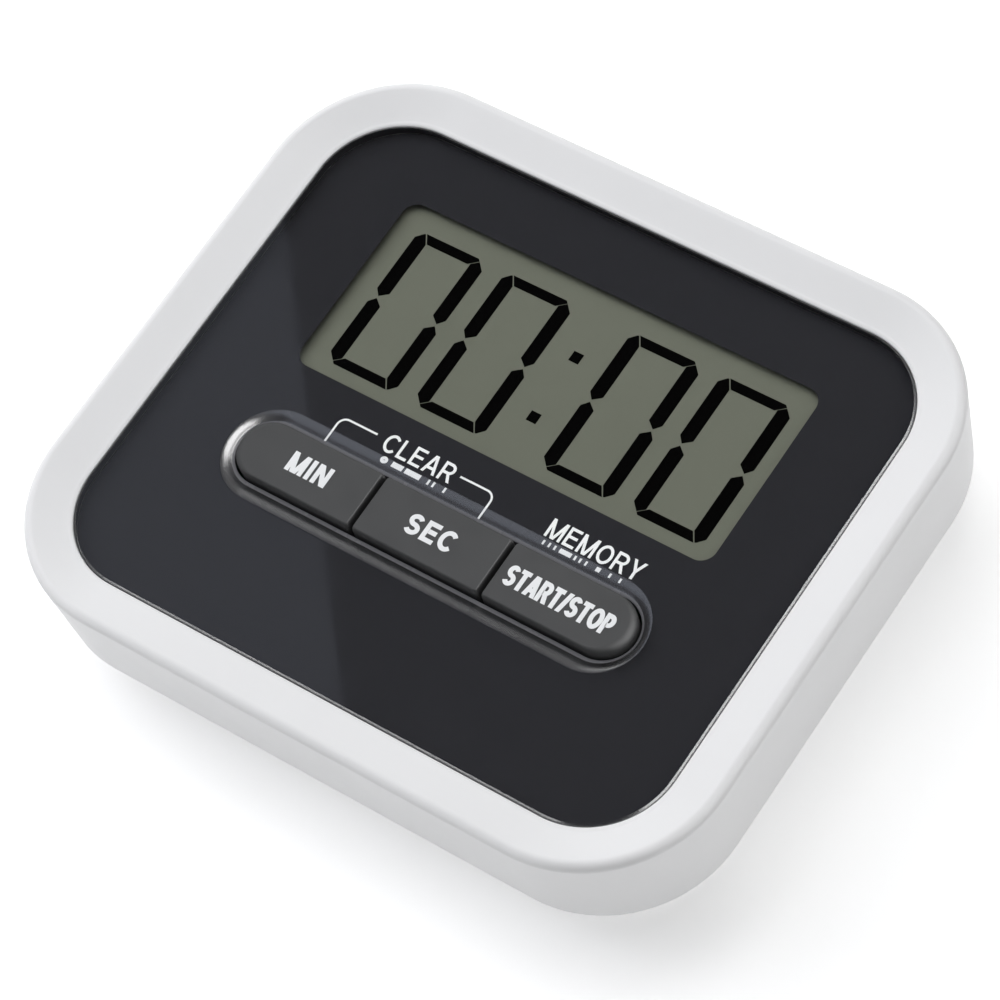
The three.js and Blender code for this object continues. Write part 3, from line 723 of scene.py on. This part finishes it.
def letter_strokes(letter, w):
    """(width, centre lines) of a plain capital, one unit high, with strokes of width w."""
    h = w / 2
    top, bowl = 1 - h, 0.27 - h / 2
    if letter == "I":
        return w, [[(h, 0), (h, 1)]]
    if letter == "M":
        inner, foot_in = h * 1.15, 0.43 - h * 0.35
        slants = [[(inner, 1), (foot_in, 0)], [(0.86 - inner, 1), (0.86 - foot_in, 0)]]
        return 0.86, [[(h, 0), (h, 1)], [(0.86 - h, 0), (0.86 - h, 1)], *slants]
    if letter == "N":
        slant = [(h * 1.2, 1), (0.72 - h * 1.2, 0)]
        return 0.72, [[(h, 0), (h, 1)], [(0.72 - h, 0), (0.72 - h, 1)], slant]
    if letter == "E":
        return 0.62, [[(0.62, top), (h, top), (h, h), (0.62, h)], [(w, 0.52), (0.58, 0.52)]]
    if letter == "L":
        return 0.57, [[(h, 1), (h, h), (0.57, h)]]
    if letter == "T":
        return 0.64, [[(0, top), (0.64, top)], [(0.32, 0), (0.32, 1 - w)]]
    if letter == "A":
        apex, bar = 0.37 - h * 0.25, [(0.2, 0.3), (0.54, 0.3)]
        return 0.74, [[(h, 0), (apex, 1)], [(0.74 - h, 0), (0.74 - apex, 1)], bar]
    if letter == "Y":
        return 0.7, [[(h, 1), (0.35, 0.4)], [(0.7 - h, 1), (0.35, 0.4)], [(0.35, 0), (0.35, 0.46)]]
    if letter == "/":
        return 0.36, [[(0.05, 0), (0.31, 1)]]
    if letter == "O":
        return 0.78, [arc(0.39, 0.5, 0.39 - h, 0.5 - h, 90, 450, 36)]
    if letter == "C":
        return 0.73, [arc(0.39, 0.5, 0.39 - h, 0.5 - h, 42, 318, 28)]
    if letter == "P":
        round_part = arc(0.64 - h - bowl, top - bowl, bowl, bowl, 90, -90, 14)
        return 0.64, [[(h, 0), (h, top), *round_part, (w, top - 2 * bowl)]]
    if letter == "R":
        round_part = arc(0.67 - h - bowl, top - bowl, bowl, bowl, 90, -90, 14)
        leg = [(0.4, 0.46), (0.7 - h, 0)]
        return 0.7, [[(h, 0), (h, top), *round_part, (w, top - 2 * bowl)], leg]
    # S
    rx, ry = 0.335 - h, (1 - w) / 4
    upper = arc(0.335, top - ry, rx * 0.94, ry, 22, 270, 20)
    lower = arc(0.335, h + ry, rx, ry, 90, -158, 20)
    return 0.67, [upper + lower[1:]]


def stroke_solid(points, faces, line, width, levels):
    """A closed bar of even width along a line, mitred at corners. A slanted bar is cut level."""
    looped = math.dist(line[0], line[-1]) < 1e-6
    path = line[:-1] if looped else line
    count, start, half = len(path), len(points), width / 2
    for i, (px, py) in enumerate(path):
        before = path[i - 1] if looped or i else path[0]
        after = path[(i + 1) % count] if looped or i < count - 1 else path[-1]
        first = Vector((px - before[0], py - before[1]))
        second = Vector((after[0] - px, after[1] - py))
        first = first.normalized() if first.length else second.normalized()
        second = second.normalized() if second.length else first
        n1, n2 = Vector((-first.y, first.x)), Vector((-second.y, second.x))
        side = (n1 + n2) * (half / max(0.25, 1 + n1.dot(n2)))
        if count == 2 and abs(first.x * first.y) > 0.01:
            side = Vector((half / abs(first.y), 0))
        for height in levels:
            points.append(Vector((px + side.x, py + side.y, height)))
            points.append(Vector((px - side.x, py - side.y, height)))
    for i in range(count if looped else count - 1):
        a, b = start + 4 * i, start + 4 * ((i + 1) % count)
        faces.extend([
            (a, a + 1, b + 1, b), (a + 2, b + 2, b + 3, a + 3),
            (a, b, b + 2, a + 2), (a + 1, a + 3, b + 3, b + 1),
        ])
    if not looped:
        last = start + 4 * (count - 1)
        faces.extend([(start, start + 2, start + 3, start + 1), (last, last + 1, last + 3, last + 2)])


def make_label(name, words, centre, size, stroke, gap, levels, material, body):
    """A word in plain capitals, fitted to a width and a height around a centre.

    stroke is the width of its lines and gap the space between letters, as shares of the height.
    """
    width, height = size
    drawn, run = [], 0.0
    for letter in words:
        across, strokes = letter_strokes(letter, stroke)
        drawn += [[(run + px, py) for px, py in one] for one in strokes]
        run += across + gap
    run -= gap
    points, faces = [], []
    for i, one in enumerate(drawn):
        placed = [((px - run / 2) * width / run, (py - 0.5) * height) for px, py in one]
        placed = [(centre[0] + px, centre[1] + py) for px, py in placed]
        step = 0.0015 * i  # strokes that cross don't share a face
        shifted = (levels[0] + step, levels[1] + step)
        stroke_solid(points, faces, placed, stroke * height, shifted)
    new_piece(name, points, faces, material, body, None, smooth=30, weighted=False)


def make_lines():
    """The bracket from the first two keys to the word over them, and the rows of marks."""
    points, faces = [], []
    corner, low, line_width = 0.95, -6.25, 0.22
    for inner, outer, top, side in ((-12.4, -16.85, -2.54, -1), (-2.05, 2.26, -2.59, 1)):
        bend = outer - side * corner
        path = [(inner, top), *[
            (bend + side * corner * math.sin(a), top - corner * (1 - math.cos(a)))
            for a in (math.pi / 2 * i / 8 for i in range(9))
        ], (outer, low)]
        stroke_solid(points, faces, path, line_width, INK_LEVELS)
    rows = (  # (height of the row, width of its marks, where each mark begins and ends)
        (-4.64, 0.6, ((-9.12, -7.79), (-7.48, -5.62), (-4.72, -4.48), (-4.1, -3.86), (-2.74, -2.5))),
        (-4.78, 0.5, (
            (9.46, 9.68), (10.16, 10.38), (10.82, 11.04), (11.5, 12.9), (13.24, 13.46), (13.85, 14.07),
            (14.54, 14.76), (15.85, 16.35), (17.39, 17.61), (18.6, 18.82),
        )),
    )
    for y, width, bars in rows:
        for x0, x1 in bars:
            stroke_solid(points, faces, [(x0, y), (x1, y)], width, INK_LEVELS)
    # the round mark that begins the first row
    stroke_solid(points, faces, arc(-10.11, -4.64, 0.26, 0.22, 0, 360, 16), 0.34, INK_LEVELS)
    new_piece("panel_lines", points, faces, INK_WHITE, "case", None, smooth=40, weighted=False)


def make_printing():
    """The words on the keys and over them, and the lines between."""
    on_keys = (
        ("label_min", "MIN", (-15.18, -9.87), (4.95, 2.3), 0.225, 0.11, "min_key"),
        ("label_sec", "SEC", (-0.01, -9.97), (5.8, 2.35), 0.215, 0.12, "sec_key"),
        ("label_start_stop", "START/STOP", (15.5, -10.1), (12.5, 2.35), 0.21, 0.09, "start_stop_key"),
    )
    for name, words, centre, size, stroke, gap, body in on_keys:
        make_label(name, words, centre, size, stroke, gap, KEY_INK_LEVELS, INK_KEY, body)
    on_panel = (
        ("label_clear", "CLEAR", (-6.99, -2.77), (8.55, 2.15)),
        ("label_memory", "MEMORY", (14.66, -3.07), (11.1, 2.15)),
    )
    for name, words, centre, size in on_panel:
        make_label(name, words, centre, size, 0.145, 0.13, INK_LEVELS, INK_WHITE, "case")
    make_lines()


make_printing()


# ---------------------------------------------------------------- rear pieces and insides

smooth_copy("cover_shell", "rear_cover", 0.2, BACK_WHITE)
smooth_copy("door_leaf", "battery_door", 0.15, BACK_WHITE)
smooth_copy("stand_leaf", "kickstand", 0.15, BACK_WHITE)

FINISH = {
    "lens_tape": TAPE, "lcd_glass": GLASS, "lcd_rear_reflector": LCD, "lcd_holder": HOLDER,
    "zebra_strip_upper": ZEBRA, "zebra_strip_lower": ZEBRA, "circuit_board": BOARD, "chip_blob": EPOXY,
    "crystal": STEEL, "capacitor": EPOXY, "dome_min": SILICONE, "dome_sec": SILICONE,
    "dome_start_stop": SILICONE, "magnet_left": MAGNET, "magnet_right": MAGNET, "battery": CELL,
    "battery_spring": STEEL, "battery_contact_negative": STEEL, "battery_contact_positive": STEEL,
    "battery_wire_black": BLACK_WIRE, "battery_wire_red": RED_WIRE, "buzzer_disc": BRASS,
    "buzzer_ceramic": CERAMIC, "buzzer_wire_black": BLACK_WIRE, "buzzer_wire_red": RED_WIRE,
}
for name, part in NODES.items():
    finish = STEEL if "screw" in name else FINISH.get(name)
    if finish:
        part.data.materials.clear()
        part.data.materials.append(finish)


# ---------------------------------------------------------------- floor and light


def make_floor():
    """A pale, faintly glowing sheet just under the timer."""
    half, drop, glow = 3.0, 0.0002, 0.32
    corners = [(-half, -half, 0), (half, -half, 0), (half, half, 0), (-half, half, 0)]
    mesh = bpy.data.meshes.new("floor")
    mesh.from_pydata(corners, [], [(0, 1, 2, 3)])
    pale = moulded(
        "floor_pale", (0.94, 0.94, 0.94), vary=0.004, rough=(0.8, 0.9), grain=300, bump=0.0, specular=0.1,
    )
    shader = pale.node_tree.nodes["Principled BSDF"]
    shader.inputs["Emission Color"].default_value = (1, 1, 1, 1)
    shader.inputs["Emission Strength"].default_value = glow
    mesh.materials.append(pale)
    floor = bpy.data.objects.new("floor", mesh)
    floor.location.z = -drop
    bpy.context.scene.collection.objects.link(floor)


def area_light(name, position, size, radiance, spin=None, glossy=True, diffuse=True, colour=(1, 1, 1)):
    """A soft box that faces the timer. With a spin it faces straight down, turned by that angle.

    radiance is how bright it looks when seen directly.
    """
    width, length = size
    light = bpy.data.lights.new(name, "AREA")
    light.shape = "RECTANGLE"
    light.size, light.size_y = width, length
    light.energy = radiance * math.pi * width * length
    light.color = colour
    holder = bpy.data.objects.new(name, light)
    holder.location = position
    if spin is None:
        toward = Vector((0, 0, 0)) - holder.location
        holder.rotation_euler = toward.to_track_quat("-Z", "Y").to_euler()
    else:
        holder.rotation_euler = (0, 0, spin)
    holder.visible_glossy = glossy
    holder.visible_diffuse = diffuse
    bpy.context.scene.collection.objects.link(holder)


def make_light():
    """A dim world, soft boxes that light the timer, and others that only show in its gloss."""
    world = bpy.data.worlds.new("world")
    world.use_nodes = True
    backdrop = world.node_tree.nodes["Background"]
    backdrop.inputs["Color"].default_value = (0.03, 0.03, 0.03, 1)
    backdrop.inputs["Strength"].default_value = 1.0
    bpy.context.scene.world = world
    area_light("ceiling", (-0.9, 0.5, 1.4), (2.4, 2.0), 1.55, glossy=False)
    area_light("top", (0.1, 0.4, 1.6), (1.2, 1.0), 2.1, glossy=False)
    area_light("left", (-1.0, -0.1, 0.6), (1.0, 0.7), 1.5, glossy=False)
    area_light("right", (1.1, -0.1, 0.8), (0.8, 0.6), 1.2, glossy=False)
    area_light("crescent", (0.92, 0.36, 0.7), (1.9, 1.7), 5.0, diffuse=False)
    area_light("front_low", (-0.5, -1.0, 0.36), (0.9, 0.35), 3.5, diffuse=False)
    area_light(
        "left_panel", (-0.508, -0.035, 0.5), (0.9, 0.6), 0.38, spin=math.radians(-48.5),
        colour=(0.9, 0.97, 1.15),
    )
    area_light("back_panel", (-0.55, 0.88, 0.8), (1.0, 0.5), 0.2, diffuse=False)
    area_light("back_corner", (-0.85, 0.85, 0.6), (0.4, 0.4), 1.3, diffuse=False)
    bpy.context.scene.view_settings.view_transform = "Standard"


make_floor()
make_light()
